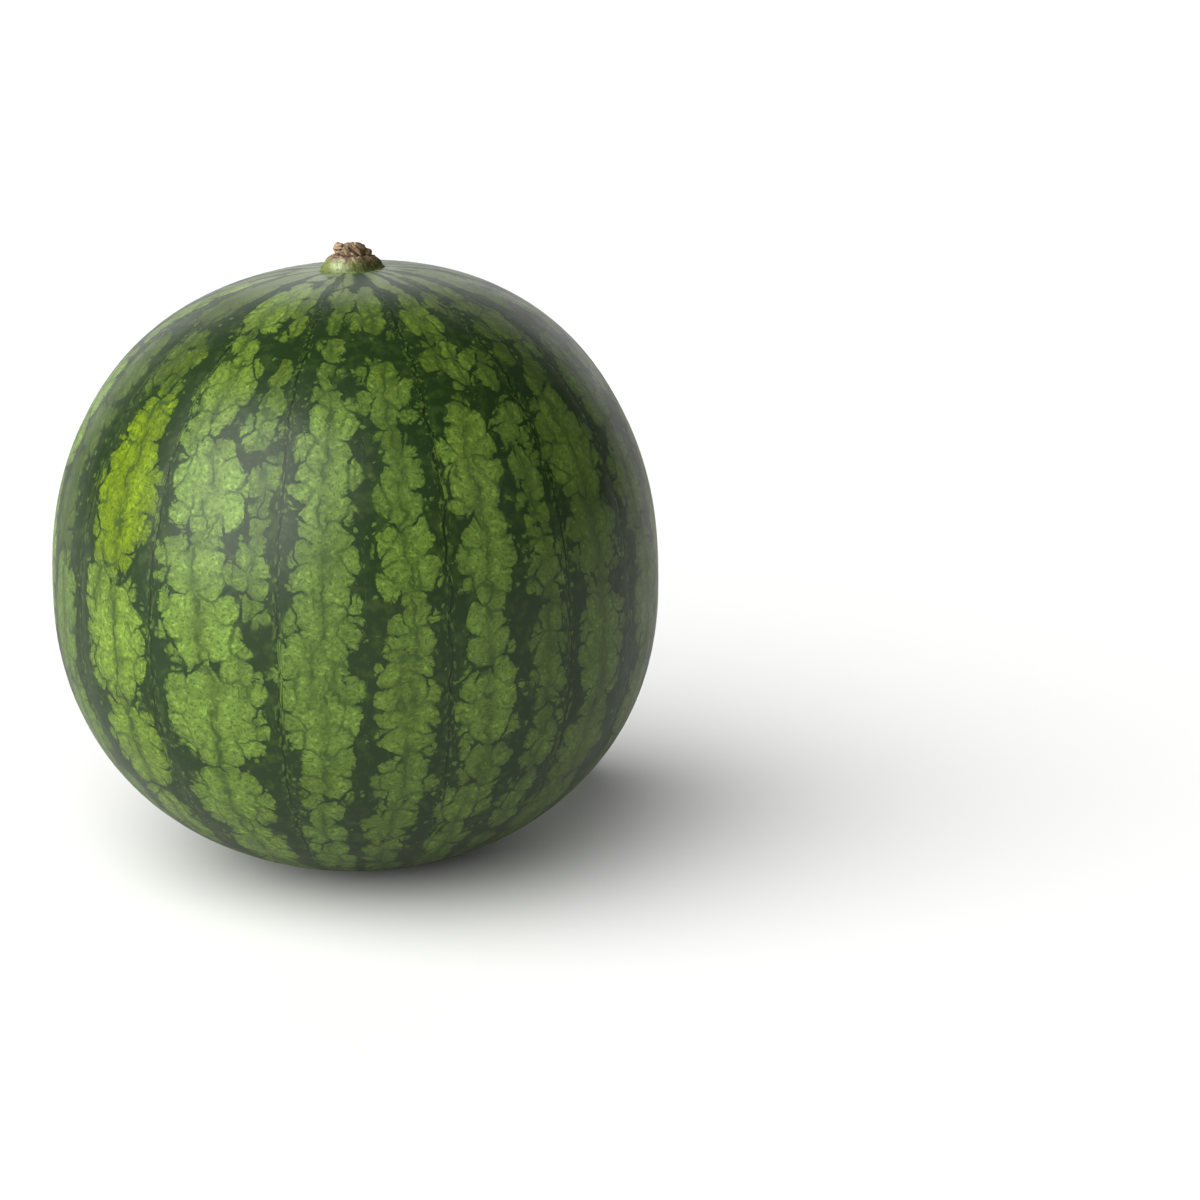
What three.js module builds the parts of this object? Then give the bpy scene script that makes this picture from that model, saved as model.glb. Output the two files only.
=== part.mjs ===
// A small round watermelon with its short dry stem stub, standing on its blossom end.
//
// Frame: millimetres, +Z up along the axis from blossom end to stem. The origin is the centre of
// the small flat spot that the fruit stands on. -Y is the front, the side with the best stripes.
//
// Two pieces that grew as two: the fruit, solid all through, and the stub of the stem, which came
// off the vine with it and could be snapped off its seat on the crown.

import * as THREE from "three";
import { mergeVertices } from "three/addons/utils/BufferGeometryUtils.js";

// ---- Driving dimensions of the fruit ----
const FRUIT_WIDTH = 180; // across the girth
const FRUIT_HEIGHT = 178; // from the resting face to the crown, where the stem sits
const GIRTH_HEIGHT = 81; // height of the widest ring, a little below the middle
const CROWN_POWER = 2.3; // fullness of the upper half: 2 is an ellipse, more is squarer
const BASE_POWER = 2.1; // fullness of the lower half
const REST_RADIUS = 17; // the flat spot at the blossom end
const SHOULDER_RISE = 2.7; // how much the +X shoulder stands above an even crown, at full width
const SHOULDER_POWER = 8; // how fast that rise dies away below the crown

// ---- Driving dimensions of the stem stub ----
const COLLAR_RADIUS = 10.2; // the green foot that spreads over the crown
const COLLAR_HEIGHT = 4.2;
const COLLAR_SLOPE = 0.6; // 1 is a plain cone, less rounds it into a mound
const COLLAR_RIBS = 5; // ridges of the vine that run down into the foot
const RIB_DEPTH = 0.09; // as a share of the radius, at the foot
const NECK_RADIUS = 4.6;
const KNOT_WIDTH = 11.2; // the dry twisted end, across X
const KNOT_DEPTH = 8.6; // and across Y
const KNOT_HEIGHT = 4.4;
const KNOT_LEAN = -0.5; // its middle lies this far towards -X
const STEM_GAP = 0.3; // clearance between the stem's foot and its seat
const SEAT_MARGIN = 0.6; // the seat is this much wider than the foot, all round

// ---- Fineness of the facets ----
const AROUND_FRUIT = 64;
const RINGS_PER_HALF = 17;
const AROUND_STEM = 30;
const COLLAR_RINGS = 5;
const KNOT_RINGS = 7;

// ---- What follows from them ----
const girthRadius = FRUIT_WIDTH / 2;
const crownRise = FRUIT_HEIGHT - GIRTH_HEIGHT;
const seatRadius = COLLAR_RADIUS * (1 + RIB_DEPTH) + SEAT_MARGIN;

// Height above the girth, as a share of the rise to the pole, of a superellipse at a radius.
const riseAt = (radius, power) =>
  Math.pow(1 - Math.pow(radius / girthRadius, power), 1 / power);

const seatHeight = GIRTH_HEIGHT + crownRise * riseAt(seatRadius, CROWN_POWER);

// The lower half reaches its pole below the resting face, so that the face cuts it at REST_RADIUS.
const baseDrop = GIRTH_HEIGHT / riseAt(REST_RADIUS, BASE_POWER);

// Points of a half profile from the girth to an end radius, spaced evenly by angle.
function halfProfile(endRadius, power, rise, side) {
  const endAngle = Math.acos(Math.pow(endRadius / girthRadius, power / 2));
  const points = [];
  for (let ring = 0; ring <= RINGS_PER_HALF; ring += 1) {
    const angle = (endAngle * ring) / RINGS_PER_HALF;
    const radius = girthRadius * Math.pow(Math.cos(angle), 2 / power);
    const height = GIRTH_HEIGHT + side * rise * Math.pow(Math.sin(angle), 2 / power);
    points.push(new THREE.Vector2(radius, height));
  }
  return points;
}

// A closed mesh whose vertices are shared, from a geometry whose seams only touch.
function sealed(geometry) {
  geometry.deleteAttribute("normal");
  geometry.deleteAttribute("uv");
  const merged = mergeVertices(geometry, 1e-4);
  merged.computeVertexNormals();
  return merged;
}

// The fruit is a turned profile, flat where it rests and flat under the stem. Its +X shoulder is
// lifted and its -X shoulder lowered, by more the nearer they are to the crown.
function fruitGeometry() {
  const lower = halfProfile(REST_RADIUS, BASE_POWER, baseDrop, -1).reverse();
  const upper = halfProfile(seatRadius, CROWN_POWER, crownRise, 1).slice(1);
  lower[0].y = 0;
  const profile = [new THREE.Vector2(0, 0), ...lower, ...upper, new THREE.Vector2(0, seatHeight)];
  const turned = new THREE.LatheGeometry(profile, AROUND_FRUIT);
  turned.rotateX(Math.PI / 2);
  const geometry = sealed(turned);
  const place = geometry.attributes.position;
  for (let i = 0; i < place.count; i += 1) {
    const x = place.getX(i);
    const y = place.getY(i);
    const z = place.getZ(i);
    const offSeat = Math.hypot(x, y) > seatRadius + 1e-3;
    const lift = SHOULDER_RISE * (x / girthRadius) * Math.pow(z / FRUIT_HEIGHT, SHOULDER_POWER);
    if (offSeat && z > 0) place.setZ(i, z + lift);
  }
  geometry.computeVertexNormals();
  return geometry;
}

// One level ring of the stem: an ellipse with the collar's ribs on it, which fade out upwards.
function stemRing(height, halfWidth, halfDepth, lean, ribs) {
  const ring = [];
  for (let step = 0; step < AROUND_STEM; step += 1) {
    const angle = (2 * Math.PI * step) / AROUND_STEM;
    const swell = 1 + ribs * Math.cos(COLLAR_RIBS * angle);
    ring.push([
      lean + halfWidth * swell * Math.cos(angle),
      halfDepth * swell * Math.sin(angle),
      height,
    ]);
  }
  return ring;
}

// The stem's rings: a rounded ribbed collar up to the neck, then the knot as half an ellipsoid
// above a short undercut.
function stemRings() {
  const rings = [];
  for (let ring = 0; ring <= COLLAR_RINGS; ring += 1) {
    const share = ring / COLLAR_RINGS;
    const spread = Math.pow(1 - share, COLLAR_SLOPE);
    const radius = NECK_RADIUS + (COLLAR_RADIUS - NECK_RADIUS) * spread;
    rings.push(
      stemRing(share * COLLAR_HEIGHT, radius, radius, share * KNOT_LEAN, RIB_DEPTH * (1 - share)),
    );
  }
  for (let ring = 1; ring < KNOT_RINGS; ring += 1) {
    const share = ring / KNOT_RINGS;
    const bulge = Math.sqrt(1 - Math.pow(2 * share - 1, 2));
    const settled = Math.min(1, 2 * share); // from the round neck to the knot's own oval
    const floor = (1 - settled) * NECK_RADIUS;
    rings.push(
      stemRing(
        COLLAR_HEIGHT + share * KNOT_HEIGHT,
        Math.max(floor, (KNOT_WIDTH / 2) * bulge),
        Math.max(floor, (KNOT_DEPTH / 2) * bulge),
        KNOT_LEAN,
        0,
      ),
    );
  }
  return rings;
}

// Joins level rings into one closed skin, with a point at the middle of each end.
function stemGeometry() {
  const rings = stemRings();
  const corners = rings.flat(2);
  const count = rings.length * AROUND_STEM;
  corners.push(0, 0, 0, KNOT_LEAN, 0, COLLAR_HEIGHT + KNOT_HEIGHT);
  const faces = [];
  for (let step = 0; step < AROUND_STEM; step += 1) {
    const next = (step + 1) % AROUND_STEM;
    const top = count - AROUND_STEM;
    faces.push(count, next, step, count + 1, top + step, top + next);
    for (let ring = 0; ring < rings.length - 1; ring += 1) {
      const low = ring * AROUND_STEM;
      const high = low + AROUND_STEM;
      faces.push(low + step, low + next, high + next, low + step, high + next, high + step);
    }
  }
  const geometry = new THREE.BufferGeometry();
  geometry.setAttribute("position", new THREE.Float32BufferAttribute(corners, 3));
  geometry.setIndex(faces);
  geometry.computeVertexNormals();
  return geometry;
}

const rind = new THREE.MeshStandardMaterial({ color: 0x4a6b2c, roughness: 0.35, metalness: 0 });
const dryStem = new THREE.MeshStandardMaterial({ color: 0x8a7650, roughness: 0.85, metalness: 0 });

const fruit = new THREE.Mesh(fruitGeometry(), rind);
fruit.name = "fruit";

const stem = new THREE.Mesh(stemGeometry(), dryStem);
stem.name = "stem";
stem.position.z = seatHeight + STEM_GAP;

const watermelon = new THREE.Group();
watermelon.add(fruit, stem);

export default watermelon;
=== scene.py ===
"""Looks of a small round watermelon: a pale studio, the striped fruit and the dry stub of its stem.

Millimetres are used for everything on the fruit, and metres only where an object is made. Longitude is
in degrees round the fruit, 0 at the front (-Y) and positive towards +X. Latitude is the angle of the
outline's formula, 0 at the girth, 90 at the stem and -90 at the blossom end.
"""

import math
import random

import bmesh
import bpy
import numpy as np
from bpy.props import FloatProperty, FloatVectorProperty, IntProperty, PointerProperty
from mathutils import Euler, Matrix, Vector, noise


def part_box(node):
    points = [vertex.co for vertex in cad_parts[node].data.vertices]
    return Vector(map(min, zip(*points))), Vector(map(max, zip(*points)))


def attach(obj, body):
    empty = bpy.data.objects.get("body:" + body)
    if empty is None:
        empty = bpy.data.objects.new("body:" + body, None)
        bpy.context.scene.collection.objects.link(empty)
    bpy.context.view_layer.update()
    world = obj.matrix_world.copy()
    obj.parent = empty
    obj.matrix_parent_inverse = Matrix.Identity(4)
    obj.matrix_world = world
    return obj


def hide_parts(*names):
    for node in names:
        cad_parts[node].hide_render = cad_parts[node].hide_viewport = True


bl_info = {
    "name": "Striped Watermelon",
    "version": (1, 0, 0),
    "blender": (4, 5, 0),
    "location": "3D View > Sidebar > Watermelon",
    "description": "Adds a round striped watermelon with its stem stub in a pale studio",
    "category": "Add Mesh",
}

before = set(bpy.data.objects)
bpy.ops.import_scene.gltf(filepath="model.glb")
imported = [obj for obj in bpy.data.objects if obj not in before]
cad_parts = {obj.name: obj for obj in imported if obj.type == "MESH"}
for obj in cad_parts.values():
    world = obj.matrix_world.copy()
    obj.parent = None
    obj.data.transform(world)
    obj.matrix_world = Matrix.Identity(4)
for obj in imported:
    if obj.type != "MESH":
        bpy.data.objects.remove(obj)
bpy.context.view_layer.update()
MM = 0.001
SMOOTH = {"interpolation_type": "SMOOTHSTEP"}  # a MapRange that eases in and out

# ---- The fruit's outline, as the solid has it ----
FRUIT_LOW, FRUIT_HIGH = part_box("fruit")
STEM_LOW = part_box("stem")[0]
GIRTH_RADIUS = (FRUIT_HIGH.x - FRUIT_LOW.x) / 2 / MM
SEAT_HEIGHT = FRUIT_HIGH.z / MM  # where the stem sits
SEAT_RADIUS = 11.7
GIRTH_HEIGHT = 0.456 * SEAT_HEIGHT
CROWN_POWER = 2.3  # 2 is an ellipse, more is fuller
BASE_POWER = 2.1
REST_RADIUS = 17.0  # the flat spot
SHOULDER_RISE = 2.7  # the +X shoulder stands this much above an even crown, at full width
SHOULDER_POWER = 8

# ---- Fineness of the fruit's skin: quads of about 1.4 by 1.2 mm at the girth ----
AROUND = 400
RINGS = 236

# ---- Small shapes of the skin ----
GROOVE_WIDTH = 2.4  # half width of the dip along each vein
GROOVE_DRIFT = 15.0  # spacing of the changes in its depth
SWELL_SIZE = 42.0  # spacing of the broad unevenness
SWELL_HEIGHT = 0.45
DIMPLE_DEPTH = 1.2  # of the blossom end, inside the flat spot
SCAR_RADIUS = 4.5
SCAR_SHARPNESS = 1.5  # the scar fades in over 1 / this, in mm
REST_FADE = 12.0  # nothing lifts or sinks at the floor, and everything does above this height

# ---- The pale islands ----
ISLAND_SQUARENESS = 2.3
FAR_OUTSIDE = -9.0  # distances beyond this are all the same to the pattern
SECTION_SHIFT = 60.0  # keeps the lobes of one section unlike those of the next
BACK_BANDS_SEED = 11
FULL_LOBE_RADIUS = 50.0  # nearer the axis than this, lobes and cracks grow fainter
FAINTEST_LOBES = 0.12
# Partly painted highlight: some of this brightening next to the stem is the light from above, mirrored,
# painted into the islands' colour.
CROWN_PALENESS_AND_HIGHLIGHT = 0.55  # how much brighter the islands are next to the stem
PALENESS_LATITUDES = (60, 78)  # where that starts and where it is full
CROWN_YELLOW = 0.35  # and how much yellower, on the whole crown
YELLOW_LATITUDES = (42, 56)
CROWN_TRIM = 0.9  # and the islands there are this much smaller all round
TRIM_LATITUDES = (35, 50)
TRIM_RADIUS = 45.0  # nearer the axis than this, they are trimmed less
SIDE_GROWTH = 0.3  # an island reaches this much beyond its table values at its sides
END_GROWTH = 1.4  # and this much at its ends, if its lower end is below the crown's latitude
CROWN_BOTTOM = 40
NARROWING = 0.8  # how fast the lobes narrow towards the poles: 1 is as fast as the bands do
POLE_RADIUS = 8.0  # nearer the axis than this, they lengthen no more
LOBE = 7.2  # mean spacing of the lobes
LOBELET = 3.3  # and of the smaller ones on them
LOBE_REACH = 0.60  # how strongly a lobe bulges: 1 makes it round
LOBELET_REACH = 0.44
NOTCH = 3.1  # the deepest wedge between two lobes
LOBE_LEVEL = 0.52  # the share of a lobe's spacing at which it neither grows nor cuts the island
WARP_SIZES = (24.0, 9.0)  # spacing of the two drifts that bend the islands
WARP_REACHES = (1.7, 1.4)  # and how far each of them bends
WARPED_RADIUS = 70.0  # nearer the axis than this, the drifts are smaller
LEAST_RADIUS = 12.0  # and nearer than this, they turn the skin no further
TOP_NEARNESS = 55  # a band that reaches above this latitude is carried on towards the stem
BOTTOM_NEARNESS = -45  # and one that reaches below this, towards the blossom end
STREAK_TOP = 87.5  # where the streaks that carry it on end
STREAK_BOTTOM = -82

# Islands of the bands on the front, in degrees: top, bottom, left, right.
FRONT_BANDS = (
    (
        (80, 50, -92, -80), (49, 21, -92, -79), (20, -8, -92, -79), (-9, -38, -91, -78),
        (-39, -68, -89, -76),
    ),
    (
        (86, 60, -76, -56), (56, 39, -77, -65), (38, 28, -76, -66), (27, 10, -77, -68),
    ),
    (
        (9, -9, -77, -64), (-10, -30, -75, -60), (-31, -52, -71, -56), (-53, -68, -70, -56),
    ),
    (
        (60, 43, -60.5, -52.5), (57, 43, -54, -46),
    ),
    (
        (43, 29, -56.5, -45), (34, 12.5, -58.8, -42),
    ),
    (
        (12.5, 3, -59, -50), (9.5, -9, -57, -42), (-10, -30, -54.5, -41), (-31, -50, -52, -42),
        (-52, -68, -52, -41),
    ),
    (
        (80, 59, -46.5, -25), (61, 53, -39, -29), (54, 39, -40, -24.5), (40, 34, -39, -30),
        (35, 19.5, -38, -21), (18.5, 9, -38, -23), (11, 0.3, -38, -20.5), (-0.5, -20, -37, -18),
        (2.5, -8, -26, -17.3),
        (-21, -38, -36, -19), (-38, -53, -35, -18.5), (-53, -68, -34, -19),
    ),
    (
        (79, 58.5, -24.5, -16), (54.5, 44, -22, -16.5), (47, 35.5, -23.5, -17), (33, 26.5, -20, -15.5),
        (24, 19.5, -20, -16.5), (18, 10.5, -22, -16.5), (10, 5.5, -21, -16.5),
    ),
    (
        (61, 50, -10.5, -2.5), (48.5, 20, -12, 0), (22, 0.8, -11.5, 0), (6, -9, -14.2, -3),
        (0, -19, -12.8, 0), (3, -9, -8, -0.4), (-18, -27, -12, -1.5), (-27, -33, -12.5, -3.5),
        (-32, -42, -13, -4), (-42, -57, -13, -3.5), (-58, -70, -13, -4),
    ),
    (
        (78, 64.5, -8.5, 0.5), (78, 59.5, -0.5, 14.5), (55.5, 40, 0.3, 14), (42, 35.5, 5, 11),
        (34.5, 21.5, 4, 14), (22.5, 9.5, 3, 14), (8.5, 0.5, 5.5, 13.5), (0.5, -18, 4, 13.5),
        (3, -9, 3, 10.5), (-18, -28.5, 3, 13), (-29.5, -42, 1, 11.5), (-42, -51, 1, 8.5),
        (-52, -68, 1, 10),
    ),
    (
        (73, 58, 19.5, 32.5), (60, 49, 19.5, 28), (59, 45, 24, 32.5), (43, 20, 18.5, 30),
        (21, 9.5, 18.5, 29.5), (9.5, 0, 19, 28), (0, -15, 18, 29.5), (-15, -25, 19.5, 29),
        (-25, -38.5, 16, 27.5), (-39.5, -50, 16, 26), (-51, -66, 16, 27),
    ),
    (
        (73, 61, 35.5, 42), (56.5, 45.5, 32.5, 39.5), (43.5, 33.5, 32, 39.5), (32.5, 26, 32, 39.5),
        (25, 19, 33, 39), (18, 8, 33, 39.5), (6, -8, 32.5, 39.5), (-10, -24, 33, 39),
        (-26, -42, 31.5, 38), (-44, -60, 31, 38),
    ),
    (
        (84, 62, 46, 58), (61, 48, 44, 51.5), (66, 48, 50.5, 61), (49, 41.5, 47, 57),
        (42.5, 21, 43, 57.5), (21, 8, 43.5, 57), (6, -12, 44, 57), (-13, -30, 42, 56),
        (-31, -50, 41, 55), (-51, -66, 40, 54),
    ),
    (
        (82, 60, 67, 80), (54, 31, 62, 74.5), (30, 14, 62, 74), (12, -8, 63, 75),
        (-9, -28, 62, 74), (-29, -48, 61, 73), (-50, -66, 61, 73),
    ),
)
# For each of those bands: how bright it is, and its share of the yellower green. The brightness is
# partly the band's own tone and partly painted light: painted sheen pales the limb band at the far
# left, painted shade darkens the band beside it, and painted shade makes the bands darker towards +X,
# away from the key light.
FRONT_TONES_AND_LIGHT = (
    (1.35, 0.1), (0.5, 0.1), (0.8, 0.1), (0.65, 0.3), (1.12, 1.0), (1.13, 0.4), (1.06, 0.1),
    (0.95, 0.1), (0.93, 0.0), (0.84, 0.1), (0.86, 0.1), (0.72, 0.0), (0.66, 0.1), (0.7, 0.0),
)
VEIN_DARKNESS = 0.4  # a vein's colour as a share of the stripe's
FRONT_VEINS = (-77.6, -61.0, -39.8, -14.3, 16.3, 41.3, 60.0)
TINT_SEED = 4

# ---- The camera, which looks from the front and a little above ----
CAMERA_ELEVATION = 15.0
CAMERA_DISTANCE = 995.0  # from the middle of the fruit
AIM_RIGHT = 72.2  # the camera looks this far to the right of the fruit's middle
AIM_DOWN = 12.3

# ---- The studio. Places of lights are azimuth, elevation and distance from the fruit's middle. ----
KEY_PLACE = (-48, 30, 1300)
KEY_SIZE = (1500, 1400)
SIDE_PLACE = (52, 26, 1500)
SIDE_SIZE = (300, 520)
SIDE_SHARE = 0.018  # of the key light's power
FLOOR_LIGHT_PLACE = (-48, 41, 1500)
FLOOR_LIGHT_SPREAD = 90  # degrees across, for a soft shadow
FLOOR_LIGHT_STRENGTH = 5.2
FLOOR_RADIUS = 8.0  # in metres
FLOOR_CORNERS = 96
CARD_IN_REFLECTIONS = (0.50, 0.50, 0.49)
CARD_AS_LIGHT = (0.42, 0.42, 0.41)
ROOM_GLOW = 0.038  # on the camera's side, where the backdrop is 1


def linear(code):
    """Turns an sRGB hex code, such as 4A6B2C, into the linear colour that Blender works in."""
    shares = [int(code[start:start + 2], 16) / 255 for start in (0, 2, 4)]
    return tuple(s / 12.92 if s <= 0.04045 else ((s + 0.055) / 1.055) ** 2.4 for s in shares)


def node(tree, kind, feeds=(), **settings):
    """Adds one shader node. settings are its own properties. feeds are the values of its inputs, or
    the nodes or outputs that feed them, in the inputs' order or by their names or numbers. A MapRange
    takes a value, the two ends it runs between and the two ends it is mapped to. A Mix of colours has
    its two colours at inputs 6 and 7 and gives the mix at output 2."""
    added = tree.nodes.new("ShaderNode" + kind)
    for name, value in settings.items():
        setattr(added, name, value)
    by_socket = feeds if isinstance(feeds, dict) else dict(enumerate(feeds))
    for key, feed in by_socket.items():
        socket = added.inputs[key]
        if isinstance(feed, bpy.types.Node):
            feed = feed.outputs[0]
        if isinstance(feed, bpy.types.NodeSocket):
            tree.links.new(feed, socket)
        else:
            socket.default_value = (*feed, 1.0) if socket.type == "RGBA" else feed
    return added


def in_millimetres(tree):
    """Where a point lies, in millimetres from the object's origin."""
    metres = node(tree, "TexCoord").outputs["Object"]
    return node(tree, "VectorMath", {0: metres, "Scale": 1 / MM}, operation="SCALE").outputs[0]


def add_object(name, data):
    """Puts an object with its data, such as a mesh or a light, in the scene."""
    added = bpy.data.objects.new(name, data)
    bpy.context.scene.collection.objects.link(added)
    return added


def empty_material(name):
    """A new material with no nodes in its tree."""
    material = bpy.data.materials.new(name)
    material.use_nodes = True
    material.node_tree.nodes.clear()
    return material


# ======== Settings ========

COLOUR = {"subtype": "COLOR", "size": 3, "min": 0.0, "max": 1.0}  # what all colour settings share


class StageSettings(bpy.types.PropertyGroup):
    """What a user would change about the studio."""

    floor_colour: FloatVectorProperty(
        name="Floor colour",
        description="Colour of the plain floor",
        default=linear("F2F2F0"),
        **COLOUR
    )
    key_power: FloatProperty(
        name="Key light",
        description="Power of the large soft light at the front left",
        unit="POWER",
        min=0.0,
        default=25.5,
    )
    focal_length: FloatProperty(
        name="Focal length",
        description="Focal length of the camera, on a sensor 36 mm wide",
        unit="CAMERA",
        min=20.0,
        default=100.0,
    )


class FruitSettings(bpy.types.PropertyGroup):
    """What a user would change about the fruit."""

    stripe_colour: FloatVectorProperty(
        name="Stripe", description="Dark green of the stripes", default=linear("243B18"), **COLOUR
    )
    island_colour: FloatVectorProperty(
        name="Islands",
        description="Pale green of the mottled islands between the stripes",
        default=linear("74923C"),
        **COLOUR
    )
    bright_colour: FloatVectorProperty(
        name="Bright islands",
        description="Yellow green of the brightest band of islands",
        default=linear("748C14"),
        **COLOUR
    )
    fissure_colour: FloatVectorProperty(
        name="Fissures",
        description="Mid green of the fine cracks between the lobes of an island",
        default=linear("3D5823"),
        **COLOUR
    )
    groove_depth: FloatProperty(
        name="Groove depth",
        description="Depth of the shallow dip along each dark vein",
        unit="LENGTH",
        min=0.0,
        default=0.22 * MM,
        precision=5,
    )


class StemSettings(bpy.types.PropertyGroup):
    """What a user would change about the stem stub."""

    dry_colour: FloatVectorProperty(
        name="Dry strands",
        description="Brown of the dried, twisted end",
        default=linear("B0977A"),
        **COLOUR
    )
    foot_colour: FloatVectorProperty(
        name="Foot",
        description="Green of the foot that spreads over the crown",
        default=linear("8A9654"),
        **COLOUR
    )
    strands: IntProperty(
        name="Strands",
        description="Number of strands that wind down round the knot",
        min=0,
        max=40,
        default=27,
    )


# ======== Stage ========


def aim(thing, target):
    """Turns a camera or light so that it looks at a point, with its own up towards +Z."""
    thing.rotation_euler = (target - thing.location).to_track_quat("-Z", "Y").to_euler()


def around_fruit(azimuth, elevation, distance):
    """A point in metres, seen from the fruit's middle: azimuth 0 is the front, positive to +X."""
    across = math.radians(azimuth)
    above = math.radians(elevation)
    away = Vector((
        math.sin(across) * math.cos(above),
        -math.cos(across) * math.cos(above),
        math.sin(above),
    ))
    return fruit_middle() + away * distance * MM


def fruit_middle():
    """The middle of the fruit's height on its axis, in metres."""
    return Vector((0, 0, FRUIT_HIGH.z / 2))


def add_camera(focal_length):
    """The camera, turned past the fruit so that the fruit stands left of the picture's middle."""
    lens = bpy.data.cameras.new("camera")
    lens.lens = focal_length
    lens.sensor_width = 36.0
    lens.dof.use_dof = False
    camera = add_object("camera", lens)
    camera.location = around_fruit(0, CAMERA_ELEVATION, CAMERA_DISTANCE)
    tilt = math.radians(CAMERA_ELEVATION)
    upward = Vector((0, math.sin(tilt), math.cos(tilt)))
    aim(camera, fruit_middle() + Vector((AIM_RIGHT * MM, 0, 0)) - upward * AIM_DOWN * MM)
    bpy.context.scene.camera = camera


def add_light(name, kind, place, power):
    """A white light that looks at the middle of the fruit from its place."""
    lamp = bpy.data.lights.new(name, kind)
    lamp.energy = power
    light = add_object(name, lamp)
    light.location = around_fruit(*place)
    aim(light, fruit_middle())
    return light


def add_soft_box(name, place, size, power):
    """A soft box of a width and height, which the camera itself doesn't see."""
    box = add_light(name, "AREA", place, power)
    box.data.shape = "RECTANGLE"
    box.data.size = size[0] * MM
    box.data.size_y = size[1] * MM
    box.visible_camera = False
    return box


def link_light(light, thing, link_state):
    """Makes a light reach one thing only, with INCLUDE, or everything but that thing, with EXCLUDE."""
    receivers = bpy.data.collections.new(light.name + "_receivers")
    receivers.objects.link(thing)
    light.light_linking.receiver_collection = receivers
    receivers.collection_objects[0].light_linking.link_state = link_state


def floor_material(colour):
    """Matt white card. It gives the eye an even, pale ground. The light that whitens it is for it
    alone, so the fruit sees a greyer card, both in its reflections and as light from below."""
    material = empty_material("white_card")
    tree = material.node_tree
    path = node(tree, "LightPath")
    white, mirrored, bounced = [
        node(tree, "BsdfDiffuse", {"Color": shade})
        for shade in (colour, CARD_IN_REFLECTIONS, CARD_AS_LIGHT)
    ]
    glossy = path.outputs["Is Glossy Ray"]
    to_fruit = node(tree, "MixShader", (glossy, bounced, mirrored))
    seen = path.outputs["Is Camera Ray"]
    card = node(tree, "MixShader", (seen, to_fruit, white))
    node(tree, "OutputMaterial", {"Surface": card})
    return material


def add_floor(colour):
    """A wide round floor at the height of the flat spot."""
    outline = bmesh.new()
    bmesh.ops.create_circle(outline, cap_ends=True, radius=FLOOR_RADIUS, segments=FLOOR_CORNERS)
    mesh = bpy.data.meshes.new("floor")
    outline.to_mesh(mesh)
    outline.free()
    mesh.materials.append(floor_material(colour))
    floor = add_object("floor", mesh)
    return floor


def add_world():
    """White all round to the eye. As light, it is a white backdrop behind the fruit and a dim room
    on the camera's side, so that the fruit's rims are pale and its face keeps its colour."""
    world = bpy.data.worlds.new("studio")
    world.use_nodes = True
    tree = world.node_tree
    tree.nodes.clear()
    way = node(tree, "TexCoord").outputs["Generated"]
    backward = node(tree, "SeparateXYZ", {0: way}).outputs["Y"]
    glow = node(tree, "MapRange", (backward, 0.6, 0.9, ROOM_GLOW, 1.0), **SMOOTH)
    seen = node(tree, "LightPath").outputs["Is Camera Ray"]
    strength = node(tree, "Math", (seen, glow), operation="MAXIMUM")
    sky = node(tree, "Background", {"Color": (1, 1, 1), "Strength": strength})
    node(tree, "OutputWorld", {"Surface": sky})
    bpy.context.scene.world = world


class WATERMELON_OT_stage(bpy.types.Operator):
    """Add the camera, the floor and the soft studio light"""

    bl_idname = "watermelon.stage"
    bl_label = "Stage"

    def execute(self, context):
        settings = context.scene.watermelon_stage
        add_camera(settings.focal_length)
        floor = add_floor(settings.floor_colour)
        add_world()
        floor_light = add_light("floor_light", "SUN", FLOOR_LIGHT_PLACE, FLOOR_LIGHT_STRENGTH)
        floor_light.data.angle = math.radians(FLOOR_LIGHT_SPREAD)
        link_light(floor_light, floor, "INCLUDE")
        key_light = add_soft_box("key_light", KEY_PLACE, KEY_SIZE, settings.key_power)
        link_light(key_light, floor, "EXCLUDE")
        add_soft_box("side_light", SIDE_PLACE, SIDE_SIZE, SIDE_SHARE * settings.key_power)
        context.scene.view_settings.view_transform = "Standard"
        return {"FINISHED"}


# ======== Fruit ========


def rise_at(radius, power):
    """Height above the girth, as a share of the rise to the pole, at a radius of the outline."""
    return (1 - (radius / GIRTH_RADIUS) ** power) ** (1 / power)


def outline(latitude):
    """Radius and height of the fruit's outline at an array of latitudes."""
    crown_rise = (SEAT_HEIGHT - GIRTH_HEIGHT) / rise_at(SEAT_RADIUS, CROWN_POWER)
    base_drop = GIRTH_HEIGHT / rise_at(REST_RADIUS, BASE_POWER)
    turn = np.radians(latitude)
    upper = latitude > 0
    power = np.where(upper, CROWN_POWER, BASE_POWER)
    radius = GIRTH_RADIUS * np.abs(np.cos(turn)) ** (2 / power)
    climb = np.abs(np.sin(turn)) ** (2 / power)
    height = GIRTH_HEIGHT + climb * np.where(upper, crown_rise, -base_drop)
    dimple = DIMPLE_DEPTH * (1 - np.minimum(radius / REST_RADIUS, 1) ** 2) ** 2
    return radius, np.where((radius < REST_RADIUS) & ~upper, dimple, height)


def evenly_spaced_rings():
    """Latitudes of the rings, the same distance apart along the outline, and that distance run up
    from the girth at each."""
    latitude = np.linspace(-90, 90, 7201)
    radius, height = outline(latitude)
    steps = np.hypot(np.diff(radius), np.diff(height))
    run = np.concatenate([[0], np.cumsum(steps)])
    ring_run = np.linspace(0, run[-1], RINGS + 1)
    girth_run = np.interp(0, latitude, run)
    return np.interp(ring_run, run, latitude), ring_run - girth_run


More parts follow.
